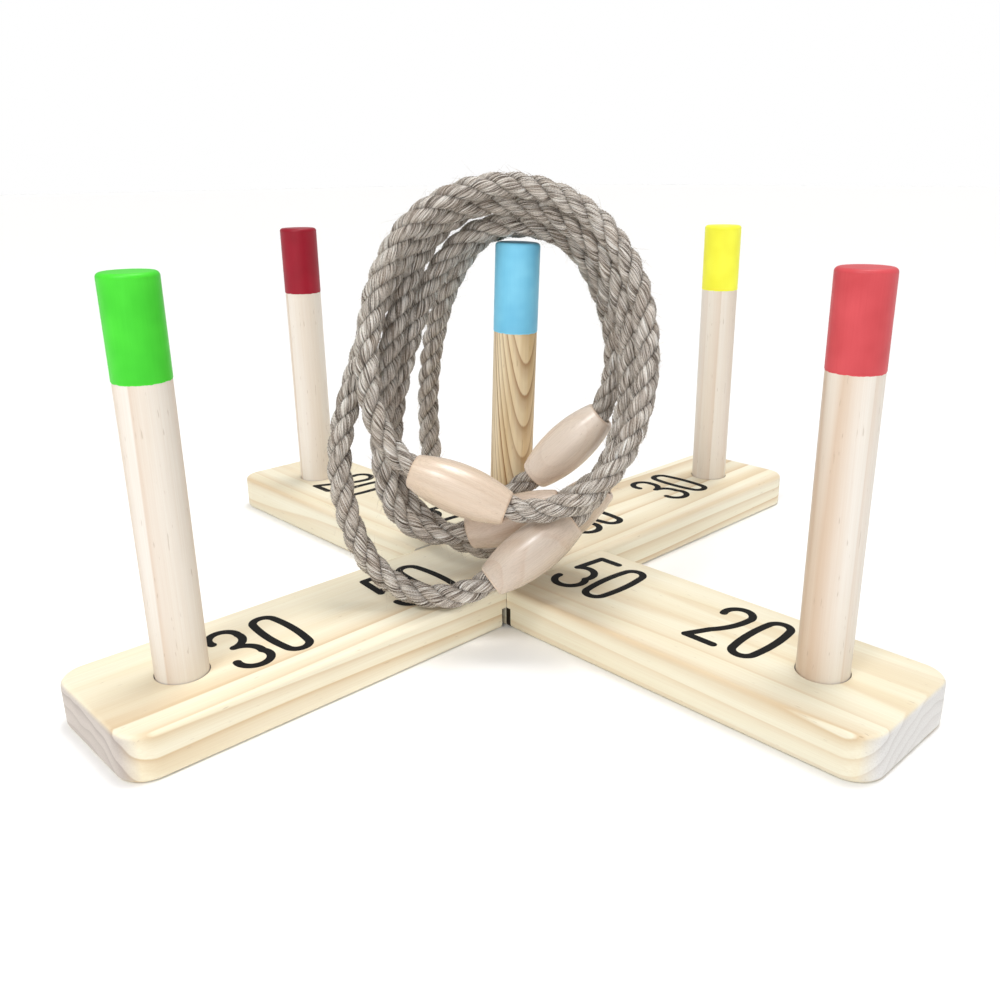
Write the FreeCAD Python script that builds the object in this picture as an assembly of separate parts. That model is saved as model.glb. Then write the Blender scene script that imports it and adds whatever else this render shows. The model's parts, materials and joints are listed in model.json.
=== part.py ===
import FreeCAD, Part
import math
import os

# Ring toss set: two planks crossed in a half lap, five dowel pegs with dipped tips,
# painted numbers, and five rope rings, each closed by a wooden bead.
# Millimetres. Origin at the centre of the underside, +Z up.
# The lower plank lies along X and the upper plank along Y.
Vector = FreeCAD.Vector

# ---- driving dimensions ----
PLANK_LENGTH = 500.0
PLANK_WIDTH = 80.0
PLANK_THICKNESS = 22.5
PLANK_CORNER = 14.0
PLANK_EDGE = 2.5
LAP_HEIGHT = PLANK_THICKNESS / 2.0
LOWER_NOTCH_GAP = 0.5
UPPER_NOTCH_GAP = 3.0

PEG_RADIUS = 12.0
PEG_TOP = 201.0
PEG_PITCH = 206.0
PEG_ROUNDING = 1.8
PEG_CHAMFER = 1.0
MIDDLE_PEG_LEAN = 2.2
MIDDLE_PEG_LIFT = 0.43
SOCKET_GAP = 0.5
SOCKET_DEPTH = 18.0
PAINT_COAT = 0.2
OVERCUT = 10.0

INK_THICKNESS = 0.15
DIGIT_HEIGHT = 46.5
DIGIT_STROKE = 4.2
DIGIT_PITCH = 22.5
DIGIT_HALF_WIDTH = 7.1
ZERO_SIDE_RADIUS = 99.5
ZERO_END_RADIUS = 5.8

ROPE_RADIUS = 6.0
BEAD_LENGTH = 52.0
BEAD_RADIUS = 13.0
BEAD_END_RADIUS = 8.75
BEAD_EDGE = 0.8
ROPE_END = 10.0
ROPE_EXIT = 30.0

# name: centre x, centre y, height of the lower edge of the dipped paint
PEGS = {
    "crimson": (-PEG_PITCH, 0.0, 158.3),
    "coral": (PEG_PITCH, 0.0, 160.5),
    "green": (0.0, -PEG_PITCH, 158.0),
    "yellow": (0.0, PEG_PITCH, 158.7),
    "blue": (0.0, 0.0, 153.9),
}

# node: plank, number, place along the plank, place across it
NUMBERS = {
    "number_20_by_crimson_peg": ("lower", "20", -168.0, 6.5),
    "number_50_crimson_side": ("lower", "50", -70.0, 6.5),
    "number_50_coral_side": ("lower", "50", 66.5, 6.5),
    "number_20_by_coral_peg": ("lower", "20", 159.0, 6.5),
    "number_30_by_green_peg": ("upper", "30", -165.5, 1.5),
    "number_50_green_side": ("upper", "50", -73.0, 1.5),
    "number_50_yellow_side": ("upper", "50", 70.0, 4.0),
    "number_30_by_yellow_peg": ("upper", "30", 163.5, 4.0),
}

# Five rings from the bottom of the pile to the top. Each one has its bead's centre, the way
# the bead points, and the corners of the rope's route from the bead's one end to the other.
# They are given as (across, forward, up): across and forward are level and lie at 45 degrees
# between the planks, forward towards the side where the beads hang.
RINGS = {
    "ring_1": (
        (34, 20, 92.5), (-38, -4, -37),
        [(-9, 19, 56), (-29, 3, 52), (-44, -17, 60), (-48.5, -31, 84), (-48, -31, 116),
         (-42.5, -23, 148), (-33, -13, 177), (-18, -8, 201.2), (-2, -6.5, 209.5), (20, -6, 209),
         (38, -4.5, 201), (53, 1, 177), (62, 10, 146)],
    ),
    "ring_2": (
        (34, 34, 57), (-36, -2, -32),
        [(-12, 35, 36.5), (-33, 38, 47), (-50, 40, 60.5), (-60.5, 39, 82), (-62, 33.5, 107),
         (-57, 25, 134), (-49, 15.5, 161), (-38, 7.2, 186), (-19.5, 4.6, 206.2), (1, 6, 211.3),
         (22, 7, 210), (43, 11.5, 197), (59, 19, 172), (67, 27, 142), (66.5, 33, 110)],
    ),
    "ring_3": (
        (5, 53, 61.5), (-50, 0, -16),
        [(-44, 53, 54), (-59, 52.8, 65), (-65, 49.8, 90), (-64, 43, 121), (-60, 33, 150),
         (-52, 18, 183), (-37.5, 8, 208), (-14.5, 2.4, 222.2), (10, 0.6, 223.8), (34, 4.5, 218),
         (56, 13.5, 202), (69, 25, 179), (76, 36, 148), (71, 48, 116), (56, 54, 90)],
    ),
    "ring_4": (
        (14, 79.2, 54), (-41, 12, -28),
        [(-31, 82, 28.6), (-54, 78.5, 31.5), (-73, 75, 49), (-82, 72, 77), (-84, 68, 104),
         (-79, 51.5, 129), (-72, 39, 152), (-64.5, 32, 176), (-51, 26.5, 200), (-29, 19, 219),
         (-2, 14.5, 223), (26, 19, 217.5), (47, 28, 203), (60, 36, 181), (66, 45.5, 154),
         (63.5, 57, 122), (54, 69, 95)],
    ),
    "ring_5": (
        (-22, 76, 86), (-46, -8, 17),
        [(-64, 66, 116), (-69, 60, 140), (-67.5, 52, 164), (-62.5, 42.5, 187),
         (-48.3, 35.3, 212.9), (-24, 28, 227.5), (2, 25, 232.3), (28, 27.5, 227),
         (49.8, 34.8, 213), (65.5, 46, 191), (72, 57.5, 163), (70.5, 67.5, 136), (63, 78, 110),
         (48, 86.5, 91), (27, 86.5, 78.5)],
    ),
}


def save(node, shape):
    """Write one node, after checking that it is sound."""
    if not shape.isValid():
        raise ValueError(node + " is not a valid shape")
    shape.exportStep("parts/" + node + ".step")
    print(node, "volume", round(shape.Volume, 1), "solids", len(shape.Solids))


def plank_blank(along_x):
    """A plank with rounded plan corners and softened edges, lying on the floor."""
    length, width = (PLANK_LENGTH, PLANK_WIDTH) if along_x else (PLANK_WIDTH, PLANK_LENGTH)
    blank = Part.makeBox(length, width, PLANK_THICKNESS, Vector(-length / 2, -width / 2, 0))
    upright = [e for e in blank.Edges if abs(e.tangentAt(e.FirstParameter).z) > 0.9]
    blank = blank.makeFillet(PLANK_CORNER, upright)
    level = [e for e in blank.Edges if e.BoundBox.ZLength < 0.01]
    return blank.makeFillet(PLANK_EDGE, level)


def cylinder(radius, bottom, top, x, y):
    """An upright cylinder between two heights."""
    return Part.makeCylinder(radius, top - bottom, Vector(x, y, bottom))


def make_planks():
    """Both planks, each notched to half its thickness and bored for its pegs."""
    hole = PEG_RADIUS + SOCKET_GAP
    floor = PLANK_THICKNESS - SOCKET_DEPTH
    half = PLANK_WIDTH / 2 + LOWER_NOTCH_GAP
    lower = plank_blank(True).cut(
        Part.makeBox(2 * half, 2 * PLANK_WIDTH, PLANK_THICKNESS,
                     Vector(-half, -PLANK_WIDTH, LAP_HEIGHT)))
    half = PLANK_WIDTH / 2 + UPPER_NOTCH_GAP
    upper = plank_blank(False).cut(
        Part.makeBox(2 * PLANK_WIDTH, 2 * half, PLANK_THICKNESS,
                     Vector(-PLANK_WIDTH, -half, LAP_HEIGHT - PLANK_THICKNESS)))
    for x, y, _ in PEGS.values():
        bore = cylinder(hole, floor, PLANK_THICKNESS + OVERCUT, x, y)
        if y == 0:
            lower = lower.cut(bore)
        if x == 0:
            upper = upper.cut(bore)
    return lower, upper


def rounded_dowel(radius, bottom, top, rounding, x, y):
    """A dowel whose top edge is rounded."""
    dowel = cylinder(radius, bottom, top, x, y)
    rim = [e for e in dowel.Edges if e.BoundBox.ZMin > top - 0.01]
    return dowel.makeFillet(rounding, rim)


def lean(shape):
    """Tips the middle peg over in its loose socket, towards +X and +Y alike."""
    pivot = Vector(0, 0, PLANK_THICKNESS - SOCKET_DEPTH / 2)
    return shape.rotated(pivot, Vector(-1, 1, 0), MIDDLE_PEG_LEAN)


def make_peg(x, y, lift):
    """A dowel standing on the floor of its socket, or raised to leave room to lean."""
    bottom = PLANK_THICKNESS - SOCKET_DEPTH + lift
    peg = rounded_dowel(PEG_RADIUS, bottom, PEG_TOP, PEG_ROUNDING, x, y)
    rim = [e for e in peg.Edges if e.BoundBox.ZMax < bottom + 0.01]
    return peg.makeChamfer(PEG_CHAMFER, rim)


def make_paint(x, y, lower_edge):
    """The coat of paint on a peg's dipped tip."""
    coat = rounded_dowel(PEG_RADIUS + PAINT_COAT, lower_edge, PEG_TOP + PAINT_COAT,
                         PEG_ROUNDING + PAINT_COAT, x, y)
    core = rounded_dowel(PEG_RADIUS, lower_edge - OVERCUT, PEG_TOP, PEG_ROUNDING, x, y)
    return coat.cut(core)


def arc(first, middle, last):
    """An arc through three points given as (x, y)."""
    return Part.Arc(Vector(*first, 0), Vector(*middle, 0), Vector(*last, 0)).toShape()


def line(first, last):
    """A straight edge between two points given as (x, y)."""
    return Part.LineSegment(Vector(*first, 0), Vector(*last, 0)).toShape()


def stroke(edges):
    """The inked area along an open centreline, with round ends and corners."""
    wire = Part.Wire(edges)
    outline = wire.makeOffset2D(DIGIT_STROKE / 2, 0, False, False, False)
    return Part.Face(outline).extrude(Vector(0, 0, INK_THICKNESS))


def oval(grow):
    """The outline of a nought, moved outwards by grow."""
    half_height = (DIGIT_HEIGHT - DIGIT_STROKE) / 2
    side = ZERO_SIDE_RADIUS
    end = ZERO_END_RADIUS
    side_centre = side - DIGIT_HALF_WIDTH
    end_centre = half_height - end
    slope = math.atan2(end_centre, side_centre)
    reach = end + grow
    joint_x = reach * math.cos(slope)
    joint_y = end_centre + reach * math.sin(slope)
    x = DIGIT_HALF_WIDTH + grow
    y = half_height + grow
    return Part.Wire([
        arc((joint_x, -joint_y), (x, 0), (joint_x, joint_y)),
        arc((joint_x, joint_y), (0, y), (-joint_x, joint_y)),
        arc((-joint_x, joint_y), (-x, 0), (-joint_x, -joint_y)),
        arc((-joint_x, -joint_y), (0, -y), (joint_x, -joint_y)),
    ])


def make_digit(digit):
    """One inked digit about its own centre, lying on z = 0."""
    if digit == "0":
        whole = Part.Face(oval(DIGIT_STROKE / 2))
        eye = Part.Face(oval(-DIGIT_STROKE / 2))
        return whole.cut(eye).extrude(Vector(0, 0, INK_THICKNESS))
    if digit == "2":
        return stroke([
            arc((-7.0, 11.5), (0.0, 21.35), (7.1, 12.5)),
            arc((7.1, 12.5), (4.8, 2.0), (-1.2, -8.5)),
            line((-1.2, -8.5), (-7.3, -20.9)),
            line((-7.3, -20.9), (8.6, -20.9)),
        ])
    if digit == "3":
        upper = stroke([
            arc((-7.5, 12.0), (-0.3, 21.35), (6.5, 13.0)),
            arc((6.5, 13.0), (4.2, 4.8), (-1.5, 2.0)),
        ])
        lower = stroke([
            arc((-1.5, 2.0), (5.0, -1.5), (7.1, -9.5)),
            arc((7.1, -9.5), (-0.3, -21.35), (-7.5, -12.0)),
        ])
        return upper.fuse(lower).removeSplitter()
    top = stroke([
        line((7.3, 21.2), (-5.2, 21.2)),
        line((-5.2, 21.2), (-7.1, 2.5)),
    ])
    bowl = stroke([
        arc((-7.1, 2.5), (2.2, 4.6), (7.1, -7.0)),
        arc((7.1, -7.0), (-0.3, -21.35), (-7.5, -12.5)),
    ])
    return top.fuse(bowl).removeSplitter()


def make_number(plank, text, along, across):
    """A painted number: one thin solid for each digit, reading along its plank."""
    digits = []
    first = along - DIGIT_PITCH * (len(text) - 1) / 2
    for i, digit in enumerate(text):
        ink = make_digit(digit)
        ink.translate(Vector(first + i * DIGIT_PITCH, across, PLANK_THICKNESS))
        if plank == "upper":
            ink.rotate(Vector(0, 0, 0), Vector(0, 0, 1), 90)
        digits.extend(ink.Solids)
    return Part.makeCompound(digits)


def from_pile(point):
    """A vector from an (across, forward, up) triple."""
    across, forward, up = point
    return Vector((across + forward) / math.sqrt(2), (across - forward) / math.sqrt(2), up)


def rope_route(centre, way, corners):
    """The rope's corner points, from inside one end of the bead round to the other."""
    middle = from_pile(centre)
    unit = from_pile(way).normalize()
    start = [middle + unit * ROPE_END, middle + unit * ROPE_EXIT]
    end = [middle - unit * ROPE_EXIT, middle - unit * ROPE_END]
    return start + [from_pile(p) for p in corners] + end


def rope_wire(points):
    """Straight runs joined by tangent arcs. Returns the wire, its length and tightest bend."""
    edges = []
    bends = []
    here = points[0]
    for before, corner, after in zip(points, points[1:], points[2:]):
        back = before - corner
        ahead = after - corner
        cut = 0.45 * min(back.Length, ahead.Length)
        turn = math.pi - back.getAngle(ahead)
        bends.append(cut / math.tan(turn / 2))
        start = corner + back.normalize() * cut
        end = corner + ahead.normalize() * cut
        inward = (back + ahead).normalize()
        radius = bends[-1]
        middle = corner + inward * (math.hypot(cut, radius) - radius)
        edges.append(Part.LineSegment(here, start).toShape())
        edges.append(Part.Arc(start, middle, end).toShape())
        here = end
    edges.append(Part.LineSegment(here, points[-1]).toShape())
    wire = Part.Wire(edges)
    return wire, wire.Length, min(bends)


def make_rope(points):
    """A round rope swept along its route."""
    wire, length, bend = rope_wire(points)
    start = Part.Circle(points[0], points[1] - points[0], ROPE_RADIUS).toShape()
    rope = wire.makePipeShell([Part.Wire([start])], True, False)
    share = rope.Volume / (math.pi * ROPE_RADIUS ** 2 * length)
    print("rope length", round(length, 1), "tightest bend", round(bend, 1),
          "volume share", round(share, 4))
    return rope


def make_bead(centre, way):
    """A barrel-shaped bead with the rope's bore right through it."""
    half = BEAD_LENGTH / 2
    bore = ROPE_RADIUS
    end = BEAD_END_RADIUS
    profile = Part.Wire([
        Part.LineSegment(Vector(bore, 0, -half), Vector(end - BEAD_EDGE, 0, -half)).toShape(),
        Part.LineSegment(Vector(end - BEAD_EDGE, 0, -half),
                         Vector(end, 0, BEAD_EDGE - half)).toShape(),
        Part.Arc(Vector(end, 0, BEAD_EDGE - half), Vector(BEAD_RADIUS, 0, 0),
                 Vector(end, 0, half - BEAD_EDGE)).toShape(),
        Part.LineSegment(Vector(end, 0, half - BEAD_EDGE),
                         Vector(end - BEAD_EDGE, 0, half)).toShape(),
        Part.LineSegment(Vector(end - BEAD_EDGE, 0, half), Vector(bore, 0, half)).toShape(),
        Part.LineSegment(Vector(bore, 0, half), Vector(bore, 0, -half)).toShape(),
    ])
    bead = Part.Face(profile).revolve(Vector(0, 0, 0), Vector(0, 0, 1), 360)
    turn = FreeCAD.Rotation(Vector(0, 0, 1), from_pile(way))
    bead.Placement = FreeCAD.Placement(from_pile(centre), turn)
    return bead


os.makedirs("parts", exist_ok=True)

lower_plank, upper_plank = make_planks()
save("lower_plank", lower_plank)
save("upper_plank", upper_plank)
for colour, (peg_x, peg_y, paint_line) in PEGS.items():
    middle = peg_x == 0 and peg_y == 0
    peg = make_peg(peg_x, peg_y, MIDDLE_PEG_LIFT if middle else 0)
    coat = make_paint(peg_x, peg_y, paint_line)
    save(colour + "_peg", lean(peg) if middle else peg)
    save(colour + "_tip_paint", lean(coat) if middle else coat)
for node, spec in NUMBERS.items():
    save(node, make_number(*spec))
for ring, (bead_centre, bead_way, route) in RINGS.items():
    save(ring + "_rope", make_rope(rope_route(bead_centre, bead_way, route)))
    save(ring + "_bead", make_bead(bead_centre, bead_way))
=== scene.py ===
import json
import math

import bpy
import numpy as np
from mathutils import Matrix, Vector


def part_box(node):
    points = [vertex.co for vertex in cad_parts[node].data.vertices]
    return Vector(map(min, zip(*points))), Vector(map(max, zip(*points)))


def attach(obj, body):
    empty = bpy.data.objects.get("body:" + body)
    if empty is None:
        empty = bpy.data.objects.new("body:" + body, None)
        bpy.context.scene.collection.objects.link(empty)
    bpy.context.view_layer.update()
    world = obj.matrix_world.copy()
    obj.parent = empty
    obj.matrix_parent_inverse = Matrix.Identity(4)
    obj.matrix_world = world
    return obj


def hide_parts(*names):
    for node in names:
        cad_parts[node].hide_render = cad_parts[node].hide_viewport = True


# Looks for the ring toss set: pine planks, dipped pegs, and a pile of laid rope rings.
# Metres, in the frame of the CAD part: the lower plank lies along X, the upper one along Y.

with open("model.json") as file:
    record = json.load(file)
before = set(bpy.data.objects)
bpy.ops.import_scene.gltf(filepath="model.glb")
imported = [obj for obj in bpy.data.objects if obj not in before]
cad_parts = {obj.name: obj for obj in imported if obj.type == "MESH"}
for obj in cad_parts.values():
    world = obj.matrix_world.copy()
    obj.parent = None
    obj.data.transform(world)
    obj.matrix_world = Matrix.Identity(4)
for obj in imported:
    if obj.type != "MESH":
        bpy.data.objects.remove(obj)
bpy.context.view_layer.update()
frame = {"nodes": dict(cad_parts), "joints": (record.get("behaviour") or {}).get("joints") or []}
NODES = frame["nodes"]
MM = 0.001
COLOURS = ("crimson", "coral", "green", "yellow", "blue")

# ---- rope ----
ROPE_DIAMETER = 12 * MM
STRANDS = 3
STRAND_RADIUS = 3.35 * MM
STRAND_HELIX = 3.0 * MM
STRAND_PITCH = 37 * MM
STRAND_SIDES = 26
STRAND_STEP = 0.9 * MM
FIBRE_TWIST = -490.0
YARNS = 7
YARN_RELIEF = 0.075
ROPE_END = 10.0
ROPE_EXIT = 30.0
SWELL = 0.035
SWELL_POINTS = 60
HAIRS_PER_RING = 1700
HAIR_STEPS = 5
HAIR_CORNERS = (0.0, 2.094, 4.189)
HAIR_SHORTEST = 0.002
HAIR_MEAN_GROWTH = 0.0022
HAIR_LONGEST = 0.010
HAIR_CLEAR_OF_ENDS = 14  # steps along the rope

# Bead centre, the way the bead points, and the corners of the rope's route, as
# (across, forward, up) in millimetres; forward is the side where the beads hang.
# ROPE_END and ROPE_EXIT are millimetres from the bead's centre too.
RINGS = {
    "ring_1": (
        (34, 20, 92.5), (-38, -4, -37),
        [(-9, 19, 56), (-29, 3, 52), (-44, -17, 60), (-48.5, -31, 84), (-48, -31, 116),
         (-42.5, -23, 148), (-33, -13, 177), (-18, -8, 201.2), (-2, -6.5, 209.5), (20, -6, 209),
         (38, -4.5, 201), (53, 1, 177), (62, 10, 146)],
    ),
    "ring_2": (
        (34, 34, 57), (-36, -2, -32),
        [(-12, 35, 36.5), (-33, 38, 47), (-50, 40, 60.5), (-60.5, 39, 82), (-62, 33.5, 107),
         (-57, 25, 134), (-49, 15.5, 161), (-38, 7.2, 186), (-19.5, 4.6, 206.2), (1, 6, 211.3),
         (22, 7, 210), (43, 11.5, 197), (59, 19, 172), (67, 27, 142), (66.5, 33, 110)],
    ),
    "ring_3": (
        (5, 53, 61.5), (-50, 0, -16),
        [(-44, 53, 54), (-59, 52.8, 65), (-65, 49.8, 90), (-64, 43, 121), (-60, 33, 150),
         (-52, 18, 183), (-37.5, 8, 208), (-14.5, 2.4, 222.2), (10, 0.6, 223.8), (34, 4.5, 218),
         (56, 13.5, 202), (69, 25, 179), (76, 36, 148), (71, 48, 116), (56, 54, 90)],
    ),
    "ring_4": (
        (14, 79.2, 54), (-41, 12, -28),
        [(-31, 82, 28.6), (-54, 78.5, 31.5), (-73, 75, 49), (-82, 72, 77), (-84, 68, 104),
         (-79, 51.5, 129), (-72, 39, 152), (-64.5, 32, 176), (-51, 26.5, 200), (-29, 19, 219),
         (-2, 14.5, 223), (26, 19, 217.5), (47, 28, 203), (60, 36, 181), (66, 45.5, 154),
         (63.5, 57, 122), (54, 69, 95)],
    ),
    "ring_5": (
        (-22, 76, 86), (-46, -8, 17),
        [(-64, 66, 116), (-69, 60, 140), (-67.5, 52, 164), (-62.5, 42.5, 187),
         (-48.3, 35.3, 212.9), (-24, 28, 227.5), (2, 25, 232.3), (28, 27.5, 227),
         (49.8, 34.8, 213), (65.5, 46, 191), (72, 57.5, 163), (70.5, 67.5, 136), (63, 78, 110),
         (48, 86.5, 91), (27, 86.5, 78.5)],
    ),
}


# ---------------------------------------------------------------- node helpers
class Nodes:
    """A short way to write one material's nodes."""

    def __init__(self, name):
        self.material = bpy.data.materials.new(name)
        self.material.use_nodes = True
        self.tree = self.material.node_tree
        self.shader = self.tree.nodes["Principled BSDF"]

    def put(self, value, socket):
        if isinstance(value, bpy.types.NodeSocket):
            self.tree.links.new(value, socket)
        elif value is not None:
            socket.default_value = value

    def node(self, kind, inputs=(), out=0, **settings):
        made = self.tree.nodes.new(kind)
        for key, value in settings.items():
            setattr(made, key, value)
        for key, value in dict(inputs).items():
            self.put(value, made.inputs[key])
        return made.outputs[out]

    def math(self, operation, a, b=None):
        made = self.tree.nodes.new("ShaderNodeMath")
        made.operation = operation
        for value, socket in zip((a, b), made.inputs):
            self.put(value, socket)
        return made.outputs[0]

    def vector(self, operation, a, b=None, scale=None):
        made = self.tree.nodes.new("ShaderNodeVectorMath")
        made.operation = operation
        self.put(a, made.inputs[0])
        self.put(b, made.inputs[1])
        self.put(scale, made.inputs[3])
        return made.outputs[1 if operation in ("LENGTH", "DOT_PRODUCT") else 0]

    def xyz(self, x, y, z):
        return self.node("ShaderNodeCombineXYZ", {"X": x, "Y": y, "Z": z})

    def noise(self, where, scale, detail=3.0, roughness=0.55, colour=False, distortion=0.0):
        return self.node("ShaderNodeTexNoise", {
            "Vector": where, "Scale": scale, "Detail": detail, "Roughness": roughness,
            "Distortion": distortion}, out=1 if colour else 0)

    def ramp(self, value, stops):
        made = self.tree.nodes.new("ShaderNodeValToRGB")
        while len(made.color_ramp.elements) < len(stops):
            made.color_ramp.elements.new(0.5)
        for element, (place, colour) in zip(made.color_ramp.elements, stops):
            element.position = place
            element.color = (*colour, 1)
        self.put(value, made.inputs[0])
        return made.outputs[0]

    def mix(self, share, a, b, blend="MIX"):
        made = self.tree.nodes.new("ShaderNodeMix")
        made.data_type = "RGBA"
        made.blend_type = blend
        self.put(share, made.inputs[0])
        for value, socket in zip((a, b), (made.inputs[6], made.inputs[7])):
            self.put((*value, 1) if isinstance(value, tuple) else value, socket)
        return made.outputs[2]

    def band(self, value, low, high, new_low=0.0, new_high=1.0):
        return self.node("ShaderNodeMapRange", {
            "Value": value, "From Min": low, "From Max": high,
            "To Min": new_low, "To Max": new_high})

    def bump(self, height, distance, strength):
        made = self.tree.nodes.new("ShaderNodeBump")
        made.inputs["Strength"].default_value = strength
        made.inputs["Distance"].default_value = distance
        self.put(height, made.inputs["Height"])
        self.put(made.outputs[0], self.shader.inputs["Normal"])

    def finish(self, colour, roughness, specular):
        self.put(colour, self.shader.inputs["Base Color"])
        self.put(roughness, self.shader.inputs["Roughness"])
        self.shader.inputs["Specular IOR Level"].default_value = specular
        return self.material


def rgb(r, g, b):
    """A linear colour from 0-255 display values."""
    def channel(v):
        v = v / 255
        return v / 12.92 if v <= 0.04045 else ((v + 0.055) / 1.055) ** 2.4
    return channel(r), channel(g), channel(b)


# ---------------------------------------------------------------- materials
ENDS = (rgb(226, 218, 210), rgb(172, 156, 148))
PAINT_CREEP = 1.1 * MM


def wood(name, grain, pith, spacing, pale, mid, dark, wander, line, seed,
         roughness=0.5, specular=0.35, centre=(0, 0, 0), lean=(0, 0), ends=ENDS, dip=None,
         lap_shade=None):
    """Sawn or turned pine: growth rings round a pith line that runs along the grain.

    spacing is the width of a growth ring, line how strongly its late wood shows, and wander
    how far the rings stray. lean tips the pith line away from the grain, so the rings run out
    of the surface as nested arches. dip is the paint over the far end and how far along the
    grain it starts. The lap shade argument is the stretch along the grain, from the middle,
    and the height below which painted shade darkens the lap, where its gap lies in shadow.
    """
    n = Nodes(name)
    turn = Vector(grain).rotation_difference(Vector((0, 0, 1)))
    place = n.node("ShaderNodeTexCoord", out=3)
    local = n.node("ShaderNodeVectorRotate", {
        "Vector": n.vector("SUBTRACT", place, tuple(centre)),
        "Rotation": tuple(turn.to_euler())}, rotation_type="EULER_XYZ")
    height_on = n.node("ShaderNodeSeparateXYZ", {"Vector": local}, out=2)
    flat = n.vector("MULTIPLY", local, (1.0, 1.0, 0.07))
    shifted = n.vector("ADD", flat, (seed, seed * 0.7, seed * 1.3))
    drift = n.noise(shifted, 26.0, detail=2.0, colour=True)
    drift = n.vector("SCALE", n.vector("SUBTRACT", drift, (0.5, 0.5, 0.5)), scale=wander)
    heart = tuple(turn @ Vector(pith))
    away = n.vector("SUBTRACT", local, heart)
    slide = n.vector("SCALE", (*lean, 0.0), scale=height_on)
    away = n.vector("ADD", n.vector("SUBTRACT", away, slide), drift)
    radius = n.vector("LENGTH", n.vector("MULTIPLY", away, (1.0, 1.0, 0.0)))
    turns = n.math("DIVIDE", radius, spacing)
    ring = n.math("FRACT", turns)
    each = n.noise(n.xyz(n.math("FLOOR", turns), seed, 0.0), 1.7, detail=0.0)
    late = n.ramp(ring, [(0.0, (0.0,) * 3), (0.35, (0.04,) * 3), (0.74, (0.50,) * 3),
                         (0.93, (1.0,) * 3), (1.0, (0.0,) * 3)])
    late = n.math("MULTIPLY", late, n.band(each, 0.3, 0.7, 0.25, 1.0))
    fibres = n.noise(n.vector("MULTIPLY", local, (1.0, 1.0, 0.012)), 1500.0, detail=3.0)
    broad = n.noise(shifted, 60.0, detail=3.0)
    flecks = n.noise(n.vector("MULTIPLY", local, (1.0, 1.0, 0.16)), 800.0, detail=1.0)
    flecks = n.band(flecks, 0.72, 0.78)
    colour = n.mix(n.band(broad, 0.35, 0.68), pale, mid)
    colour = n.mix(n.math("MULTIPLY", late, line), colour, dark)
    colour = n.mix(n.band(fibres, 0.35, 0.75, 0.0, 0.13), colour, dark)
    colour = n.mix(n.math("MULTIPLY", flecks, 0.30), colour, rgb(150, 118, 84))
    normal = n.node("ShaderNodeTexCoord", out=1)
    end = n.math("ABSOLUTE", n.vector("DOT_PRODUCT", normal, tuple(grain)))
    end_colour = n.mix(n.math("MULTIPLY", late, 0.75), *ends)
    speckle = n.noise(local, 1400.0, detail=2.0)
    end_colour = n.mix(n.band(speckle, 0.4, 0.75, 0.0, 0.25), end_colour, ends[1])
    colour = n.mix(n.band(end, 0.55, 0.95), colour, end_colour)
    gloss = n.band(fibres, 0.2, 0.8, roughness - 0.07, roughness + 0.09)
    height = n.math("ADD", n.math("MULTIPLY", fibres, 0.6), n.math("MULTIPLY", late, -0.5))
    height = n.math("SUBTRACT", height, n.math("MULTIPLY", flecks, 0.8))
    if dip:
        tone, edge = dip
        ragged = n.noise(n.vector("MULTIPLY", local, (1.0, 1.0, 0.0)), 260.0, detail=2.0)
        edge_at = n.math("SUBTRACT", edge, n.math("MULTIPLY", ragged, PAINT_CREEP))
        colour = n.mix(n.math("GREATER_THAN", height_on, edge_at), colour, tone)
    # Painted shade: a narrow dark band on the lap's walls and underside, where the gap between
    # the crossed planks is in shadow.
    if lap_shade:
        from_middle = n.math("ABSOLUTE", height_on)
        low = n.node("ShaderNodeSeparateXYZ", {"Vector": place}, out=2)
        lap_shade_mask = n.math("MULTIPLY", n.math("GREATER_THAN", from_middle, lap_shade[0]),
                       n.math("LESS_THAN", from_middle, lap_shade[1]))
        lap_shade_mask = n.math("MULTIPLY", lap_shade_mask, n.math("LESS_THAN", low, lap_shade[2]))
        colour = n.mix(lap_shade_mask, colour, LAP_GAP_SHADE)
    n.bump(height, 0.00012, 0.6)
    return n.finish(colour, gloss, specular)


def paint(name, colour, shade):
    """Dipped paint: a smooth skin that pooled a little, over faint wood grain."""
    n = Nodes(name)
    place = n.node("ShaderNodeTexCoord", out=3)
    soft = n.noise(place, 55.0, detail=2.0)
    grain = n.noise(n.vector("MULTIPLY", place, (1.0, 1.0, 0.03)), 1300.0, detail=2.0)
    tone = n.mix(n.band(soft, 0.35, 0.7, 0.0, 0.5), colour, shade)
    tone = n.mix(n.band(grain, 0.45, 0.75, 0.0, 0.12), tone, shade)
    n.bump(n.math("ADD", n.math("MULTIPLY", soft, 0.7), n.math("MULTIPLY", grain, 0.3)),
           0.00010, 0.5)
    return n.finish(tone, n.band(grain, 0.2, 0.8, 0.38, 0.50), 0.38)


def ink():
    """Flat black print that lets a little grain through."""
    n = Nodes("black_ink")
    place = n.node("ShaderNodeTexCoord", out=3)
    grain = n.noise(place, 900.0, detail=3.0)
    tone = n.mix(n.band(grain, 0.4, 0.8), rgb(7, 7, 7), rgb(26, 24, 22))
    n.bump(grain, 0.00005, 0.5)
    return n.finish(tone, n.band(grain, 0.2, 0.8, 0.58, 0.74), 0.2)


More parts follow.
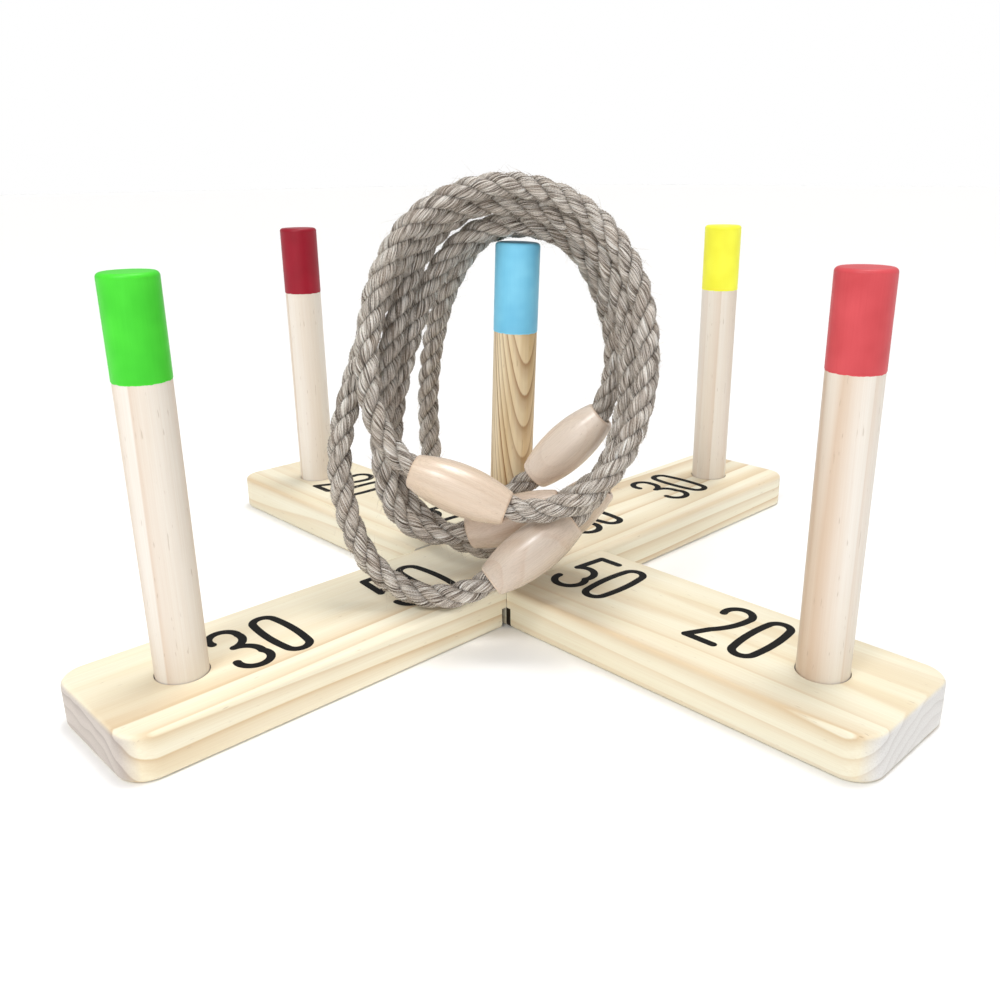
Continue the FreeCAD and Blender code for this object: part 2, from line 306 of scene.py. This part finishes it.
def jute():
    """Laid natural fibre, with painted shade and painted highlight.
    The fibre attribute runs along each strand's own fibres.
    """
    n = Nodes("jute_rope")
    at = n.node("ShaderNodeAttribute", out=1, attribute_name="fibre")
    depth = n.node("ShaderNodeAttribute", out=2, attribute_name="outer")
    streak = n.noise(n.vector("MULTIPLY", at, (1.0, 1.0, 0.085)), 1250.0, detail=5.0,
                     roughness=0.78, distortion=0.35)
    yarn = n.noise(n.vector("MULTIPLY", at, (1.0, 1.0, 0.03)), 620.0, detail=2.0)
    patch = n.noise(n.vector("MULTIPLY", at, (1.0, 1.0, 0.5)), 90.0, detail=2.0)
    shaded_gaps = n.noise(n.vector("MULTIPLY", at, (1.0, 1.0, 0.12)), 900.0, detail=3.0)
    # Fibre tones from dark to near white: partly the fibres' own colour, partly painted
    # highlight on the brightest fibres and painted shade on the darkest.
    base = n.ramp(streak, [(0.39, rgb(56, 46, 38)), (0.45, rgb(148, 136, 125)),
                           (0.51, rgb(214, 204, 193)), (0.57, rgb(250, 245, 237)),
                           (0.63, rgb(255, 255, 253))])
    base = n.mix(n.band(yarn, 0.40, 0.65, 0.0, 0.26), base, rgb(126, 114, 104))
    base = n.mix(n.band(patch, 0.45, 0.75, 0.0, 0.25), base, rgb(190, 166, 144))
    # Painted shade: dark specks where the gaps between fibres lie in shadow.
    base = n.mix(n.band(shaded_gaps, 0.58, 0.66, 0.0, 0.72), base, rgb(62, 51, 43))
    # Painted shade: the strands darken deeper in from the rope's outside, in the valleys between
    # them, with ragged edges.
    ragged = n.math("ADD", depth, n.band(shaded_gaps, 0.3, 0.7, 0.16, -0.16))
    valley_shade = n.band(ragged, 0.40, 0.94, 0.16, 1.0)
    base = n.mix(1.0, base, n.xyz(valley_shade, valley_shade, valley_shade), blend="MULTIPLY")
    height = n.math("ADD", n.math("MULTIPLY", streak, 0.75), n.math("MULTIPLY", yarn, 0.6))
    height = n.math("SUBTRACT", height, n.math("MULTIPLY", shaded_gaps, 0.5))
    n.bump(height, 0.0011, 1.0)
    return n.finish(base, n.band(streak, 0.2, 0.8, 0.95, 0.62), 0.30)


def fuzz():
    """Loose hairs of the same fibre."""
    n = Nodes("jute_hair")
    place = n.node("ShaderNodeTexCoord", out=3)
    tone = n.ramp(n.noise(place, 160.0, detail=1.0), [
        (0.35, rgb(150, 132, 112)), (0.65, rgb(236, 224, 208))])
    return n.finish(tone, n.band(n.noise(place, 900.0), 0.3, 0.7, 0.7, 0.9), 0.3)


# The colour of the painted shade in the lap's gap between the planks.
LAP_GAP_SHADE = rgb(40, 30, 20)
LAP_SHADE_FROM = 40 * MM
LAP_SHADE_TO = 43.2 * MM
PLANK_PINE = dict(spacing=0.0070, dark=rgb(200, 158, 100), wander=0.020, line=0.62)
# The planks' end-grain tones (ends) differ as painted light and shade: the lower plank's ends
# are lighter and the upper plank's darker, for how the light falls on each.
PLANKS = {
    "lower_plank": dict(grain=(1, 0, 0), pith=(0, 0.021, -0.055), seed=3.1,
                        pale=rgb(241, 236, 215), mid=rgb(234, 224, 196),
                        ends=(rgb(230, 228, 225), rgb(168, 158, 152))),
    "upper_plank": dict(grain=(0, 1, 0), pith=(-0.017, 0, -0.062), seed=7.7,
                        pale=rgb(249, 244, 223), mid=rgb(242, 231, 202),
                        ends=(rgb(208, 198, 189), rgb(156, 142, 134))),
}
PEG_RADIUS = 12 * MM
OUTER_DOWEL = dict(lean=(0.006, 0.004), spacing=0.0094, pale=rgb(240, 234, 225),
                   mid=rgb(236, 226, 212), dark=rgb(198, 158, 118), wander=0.005, line=0.55)
MIDDLE_DOWEL = dict(lean=(-0.106, 0.028), spacing=0.0020, pale=rgb(250, 236, 204),
                    mid=rgb(222, 192, 138), dark=rgb(142, 84, 22), wander=0.0040, line=1.0)
DOWEL_PITH = {
    "green": (0.052, 0.004), "crimson": (-0.030, 0.012), "coral": (0.012, 0.043),
    "yellow": (-0.028, -0.020), "blue": (-0.058, 0.0155),
}
BEAD_WOOD = dict(pith=(0.012, 0.02, 0.016), spacing=0.0030, dark=rgb(172, 132, 98),
                 wander=0.006, line=0.20, lean=(0.05, 0.02), roughness=0.27, specular=0.75,
                 ends=(rgb(226, 200, 176), rgb(196, 160, 130)))
# Each ring's bead tone: partly the wood's own variation between beads, partly painted light and
# shade, brighter for a bead in the rope pile's shadow and duller for one the fill light catches
# strongly.
BEAD_TONE_AND_SHADE = {
    "ring_1": rgb(250, 234, 218), "ring_2": rgb(226, 208, 190), "ring_3": rgb(222, 202, 184),
    "ring_4": rgb(214, 198, 182), "ring_5": rgb(224, 204, 183),
}
PAINTS = {
    "crimson": (rgb(160, 5, 38), rgb(132, 2, 26)),
    "coral": (rgb(216, 80, 86), rgb(190, 56, 62)),
    "green": (rgb(72, 220, 46), rgb(46, 190, 24)),
    "yellow": (rgb(255, 255, 72), rgb(240, 232, 44)),
    "blue": (rgb(136, 218, 250), rgb(98, 188, 232)),
}


def dress_frame():
    """Gives every CAD node but the ropes its material."""
    def wear(node, material):
        slots = NODES[node].data.materials
        slots.clear()
        slots.append(material)
        for face in NODES[node].data.polygons:
            face.material_index = 0

    lap = (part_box("upper_plank")[1].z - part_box("upper_plank")[0].z) / 2
    for node, own in PLANKS.items():
        wear(node, wood(node + "_pine", lap_shade=(LAP_SHADE_FROM, LAP_SHADE_TO, lap + 0.1 * MM),
                        **PLANK_PINE, **own))
    pull = {j["name"]: j["axis"] for j in frame["joints"]}
    for colour in COLOURS:
        grain = Vector(pull[colour + "_peg_pull"]).normalized()
        low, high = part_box(colour + "_peg")
        centre = (low + high) / 2
        coat_low, coat_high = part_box(colour + "_tip_paint")
        edge = (coat_high - centre).z - (coat_high - coat_low).z * grain.z
        edge += math.hypot(grain.x, grain.y) * PEG_RADIUS
        px, py = DOWEL_PITH[colour]
        wear(colour + "_peg", wood(
            colour + "_dowel", grain=tuple(grain), pith=(px, py, 0), centre=tuple(centre),
            seed=px * 90, roughness=0.46, dip=(PAINTS[colour][0], edge),
            **(MIDDLE_DOWEL if colour == "blue" else OUTER_DOWEL)))
        wear(colour + "_tip_paint", paint(colour + "_paint", *PAINTS[colour]))
    black = ink()
    for node in NODES:
        if node.startswith("number_"):
            wear(node, black)
    for i, (ring, (_, way, _)) in enumerate(RINGS.items()):
        low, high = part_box(ring + "_bead")
        wear(ring + "_bead", wood(
            ring + "_bead_wood", grain=tuple(from_pile(way).normalized()),
            centre=tuple((low + high) / 2), pale=BEAD_TONE_AND_SHADE[ring],
            mid=tuple(c * 0.86 for c in BEAD_TONE_AND_SHADE[ring]), seed=i * 2.3 + 0.4, **BEAD_WOOD))


# ---------------------------------------------------------------- rope
def from_pile(point):
    """Row-frame metres from (across, forward, up) in millimetres."""
    across, forward, up = point
    half = math.sqrt(2)
    return Vector(((across + forward) / half, (across - forward) / half, up)) * MM


def route_points(centre, way, corners):
    """The rope's corner points, from inside one end of the bead round to the other."""
    middle = from_pile(centre)
    unit = from_pile(way).normalized()
    start = [middle + unit * ROPE_END * MM, middle + unit * ROPE_EXIT * MM]
    end = [middle - unit * ROPE_EXIT * MM, middle - unit * ROPE_END * MM]
    return start + [from_pile(p) for p in corners] + end


def centreline(name, points):
    """Points along the smooth curve that has the route's corners as its control points."""
    curve = bpy.data.curves.new(name + "_line", "CURVE")
    curve.dimensions = "3D"
    curve.resolution_u = 24
    spline = curve.splines.new("NURBS")
    spline.points.add(len(points) - 1)
    for p, q in zip(spline.points, points):
        p.co = (*q, 1)
    spline.order_u = 3
    spline.use_endpoint_u = True
    carrier = bpy.data.objects.new(name + "_line", curve)
    mesh = bpy.data.meshes.new_from_object(carrier)
    line = np.array([v.co for v in mesh.vertices], float)
    bpy.data.meshes.remove(mesh)
    bpy.data.objects.remove(carrier)
    bpy.data.curves.remove(curve)
    return line


def even_steps(line, step):
    """The same line with points an even step apart, and how far along each one is."""
    run = np.r_[0, np.cumsum(np.linalg.norm(np.diff(line, axis=0), axis=1))]
    count = int(round(run[-1] / step)) + 1
    along = np.linspace(0, run[-1], count)
    return np.stack([np.interp(along, run, line[:, i]) for i in range(3)], 1), along


def carried_frames(points):
    """Tangents and two normals that don't twist as they go along the line."""
    tangent = np.gradient(points, axis=0)
    tangent /= np.linalg.norm(tangent, axis=1)[:, None]
    first = np.cross(tangent[0], [0.3, 0.5, 0.8])
    first /= np.linalg.norm(first)
    normals = [first]
    for t in tangent[1:]:
        n = normals[-1] - t * np.dot(normals[-1], t)
        normals.append(n / np.linalg.norm(n))
    normals = np.array(normals)
    return tangent, normals, np.cross(tangent, normals)


def lay_rope(name, points, rng):
    """Three strands laid round the centreline, each with the relief of its yarns."""
    line, along = even_steps(points, STRAND_STEP)
    tangent, side, up = carried_frames(line)
    sides = np.arange(STRAND_SIDES) * 2 * math.pi / STRAND_SIDES
    verts, faces, fibre, outer = [], [], [], []
    count = len(line)
    for k in range(STRANDS):
        turn = 2 * math.pi * (along / STRAND_PITCH + k / STRANDS)
        out = np.cos(turn)[:, None] * side + np.sin(turn)[:, None] * up
        swell = 1 + SWELL * np.interp(along, np.linspace(0, along[-1], SWELL_POINTS),
                                      rng.uniform(-1, 1, SWELL_POINTS))
        axis = line + out * STRAND_HELIX
        heading = np.gradient(axis, axis=0)
        heading /= np.linalg.norm(heading, axis=1)[:, None]
        across = np.cross(heading, out)
        yarn_phase = rng.uniform(0, 2 * math.pi, 3)
        for i in range(count):
            own = sides - FIBRE_TWIST * along[i]
            relief = (1 + YARN_RELIEF * np.cos(YARNS * own + yarn_phase[0])
                      + 0.020 * np.cos((YARNS * 2 + 1) * own + yarn_phase[1])
                      + 0.012 * np.cos(3 * own + yarn_phase[2] + along[i] * 300))
            r = STRAND_RADIUS * swell[i] * relief
            ring = (axis[i] + np.cos(sides)[:, None] * out[i] * r[:, None]
                    + np.sin(sides)[:, None] * across[i] * r[:, None])
            verts.append(ring)
            fibre.append(np.stack([np.cos(own) * STRAND_RADIUS + k * 0.05,
                                   np.sin(own) * STRAND_RADIUS,
                                   np.full(STRAND_SIDES, along[i])], 1))
            # How far out from the rope's centre each point is; the rope material paints shade in
            # the valleys from it.
            outer.append(np.linalg.norm(ring - line[i], axis=1) / (ROPE_DIAMETER / 2))
        base = k * count * STRAND_SIDES
        for i in range(count - 1):
            a = base + i * STRAND_SIDES
            for j in range(STRAND_SIDES):
                b = (j + 1) % STRAND_SIDES
                faces.append((a + j, a + b, a + b + STRAND_SIDES, a + j + STRAND_SIDES))
        faces.append(tuple(base + j for j in reversed(range(STRAND_SIDES))))
        last = base + (count - 1) * STRAND_SIDES
        faces.append(tuple(last + j for j in range(STRAND_SIDES)))
    verts = np.concatenate(verts)
    mesh = bpy.data.meshes.new(name)
    mesh.from_pydata(verts.tolist(), [], faces)
    mesh.attributes.new("fibre", "FLOAT_VECTOR", "POINT").data.foreach_set(
        "vector", np.concatenate(fibre).astype(np.float32).ravel())
    mesh.attributes.new("outer", "FLOAT", "POINT").data.foreach_set(
        "value", np.concatenate(outer).astype(np.float32))
    mesh.polygons.foreach_set("use_smooth", [True] * len(mesh.polygons))
    mesh.update()
    rope = bpy.data.objects.new(name, mesh)
    bpy.context.scene.collection.objects.link(rope)
    return rope, line, tangent, side, up


def hairs(name, line, tangent, side, up, rng):
    """Loose fibres that stand off the rope, each a thin three-sided taper."""
    verts, faces = [], []
    for _ in range(HAIRS_PER_RING):
        i = int(rng.integers(HAIR_CLEAR_OF_ENDS, len(line) - HAIR_CLEAR_OF_ENDS))
        angle = rng.uniform(0, 2 * math.pi)
        out = math.cos(angle) * side[i] + math.sin(angle) * up[i]
        around = np.cross(tangent[i], out)
        start = line[i] + out * ROPE_DIAMETER * 0.46
        length = min(HAIR_SHORTEST + rng.exponential(HAIR_MEAN_GROWTH), HAIR_LONGEST)
        head = (tangent[i] * rng.choice([-1, 1]) * rng.uniform(0.5, 1.2)
                + around * rng.normal(0, 0.5) + out * rng.uniform(0.15, 0.75))
        head /= np.linalg.norm(head)
        bend = out * rng.normal(-0.2, 0.5) + around * rng.normal(0, 0.5)
        thick = rng.uniform(0.04, 0.09) * MM
        flat = np.cross(head, out)
        flat /= max(np.linalg.norm(flat), 1e-6)
        other = np.cross(head, flat)
        base = len(verts)
        for s in range(HAIR_STEPS):
            t = s / (HAIR_STEPS - 1)
            p = start + head * length * t + bend * length * 0.5 * t * t
            width = thick * (1 - 0.7 * t)
            for a in HAIR_CORNERS:
                verts.append(p + width * (math.cos(a) * flat + math.sin(a) * other))
        for s in range(HAIR_STEPS - 1):
            a = base + s * 3
            for j in range(3):
                b = (j + 1) % 3
                faces.append((a + j, a + b, a + b + 3, a + j + 3))
    mesh = bpy.data.meshes.new(name)
    mesh.from_pydata([tuple(v) for v in verts], [], faces)
    mesh.update()
    made = bpy.data.objects.new(name, mesh)
    bpy.context.scene.collection.objects.link(made)
    return made


def make_rings():
    """Every ring's rope and its loose hairs."""
    rope_material = jute()
    hair_material = fuzz()
    for i, (ring, (centre, way, corners)) in enumerate(RINGS.items()):
        rng = np.random.default_rng(40 + i)
        curve = centreline(ring, route_points(centre, way, corners))
        rope, line, tangent, side, up = lay_rope(ring + "_laid_rope", curve, rng)
        rope.data.materials.append(rope_material)
        loose = hairs(ring + "_loose_fibres", line, tangent, side, up, rng)
        loose.data.materials.append(hair_material)
        for piece in (rope, loose):
            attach(piece, ring)
        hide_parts(ring + "_rope")


# ---------------------------------------------------------------- stage
FLOOR_REACH = 12.0
FLOOR_TONE = (0.98, 0.98, 0.98, 1)
AMBIENT = 0.50  # the world's strength for everything but the camera
CAMERA_PLACE = (0.38277, -0.36309, 0.23820)
CAMERA_YAW, CAMERA_PITCH, CAMERA_ROLL = 0.7978, -0.3297, -0.0074
CAMERA_LENS = 34.13
CAMERA_SHIFT = (-0.0202, -0.0063)


def aim(thing, target):
    """Points a light's or camera's -Z at the target."""
    way = Vector(target) - thing.location
    thing.rotation_euler = way.to_track_quat("-Z", "Y").to_euler()


def put_light(data, name, place, target):
    """Puts a light where it shines from a place at a target."""
    light = bpy.data.objects.new(name, data)
    light.location = place
    bpy.context.scene.collection.objects.link(light)
    aim(light, target)


def area_light(name, place, target, size, power):
    """A round soft box."""
    data = bpy.data.lights.new(name, "AREA")
    data.shape = "DISK"
    data.size = size
    data.energy = power
    put_light(data, name, place, target)


def sun_light(name, place, power, spread, colour):
    """An even light that shines from a place towards the origin."""
    data = bpy.data.lights.new(name, "SUN")
    data.energy = power
    data.angle = math.radians(spread)
    data.color = colour
    put_light(data, name, place, (0, 0, 0))


def make_stage():
    """A plain pale floor, a bright plain world and soft studio lights."""
    mesh = bpy.data.meshes.new("floor")
    corners = [(-1, -1), (1, -1), (1, 1), (-1, 1)]
    mesh.from_pydata([(x * FLOOR_REACH, y * FLOOR_REACH, 0) for x, y in corners], [],
                     [(0, 1, 2, 3)])
    floor = bpy.data.objects.new("floor", mesh)
    bpy.context.scene.collection.objects.link(floor)
    n = Nodes("floor_paper")
    n.finish(FLOOR_TONE, 0.9, 0.1)
    mesh.materials.append(n.material)
    world = bpy.data.worlds.new("studio")
    bpy.context.scene.world = world
    world.use_nodes = True
    tree = world.node_tree
    backdrop = tree.nodes["Background"]
    seen = tree.nodes.new("ShaderNodeLightPath")
    level = tree.nodes.new("ShaderNodeMapRange")
    level.inputs["To Min"].default_value = AMBIENT
    level.inputs["To Max"].default_value = 1.0
    tree.links.new(seen.outputs["Is Camera Ray"], level.inputs["Value"])
    tree.links.new(level.outputs[0], backdrop.inputs["Strength"])
    backdrop.inputs["Color"].default_value = (1, 1, 1, 1)
    sun_light("key", (-0.04, 0.36, 1.6), 1.45, 20, (1.0, 0.985, 0.96))
    sun_light("fill", (1.0, -1.25, 0.9), 0.62, 50, (0.98, 0.99, 1.0))
    area_light("gloss", (0.25, -0.75, 1.05), (0, 0, 0.10), 0.35, 4.0)


def make_camera():
    """A camera in front of the near corner of the cross, a little above the pegs."""
    data = bpy.data.cameras.new("camera")
    data.sensor_width = 36.0
    data.lens = CAMERA_LENS
    data.shift_x, data.shift_y = CAMERA_SHIFT
    data.clip_start = 0.01
    camera = bpy.data.objects.new("camera", data)
    bpy.context.scene.collection.objects.link(camera)
    level = Vector((math.cos(CAMERA_YAW), math.sin(CAMERA_YAW), 0))
    ahead = Vector((-math.cos(CAMERA_PITCH) * math.sin(CAMERA_YAW),
                    math.cos(CAMERA_PITCH) * math.cos(CAMERA_YAW), math.sin(CAMERA_PITCH)))
    right = level * math.cos(CAMERA_ROLL) + level.cross(ahead) * math.sin(CAMERA_ROLL)
    up = right.cross(ahead)
    turn = Matrix((right, up, -ahead)).transposed()
    camera.matrix_world = Matrix.Translation(CAMERA_PLACE) @ turn.to_4x4()
    bpy.context.scene.camera = camera


dress_frame()
make_rings()
make_stage()
make_camera()
bpy.context.scene.view_settings.view_transform = "Standard"
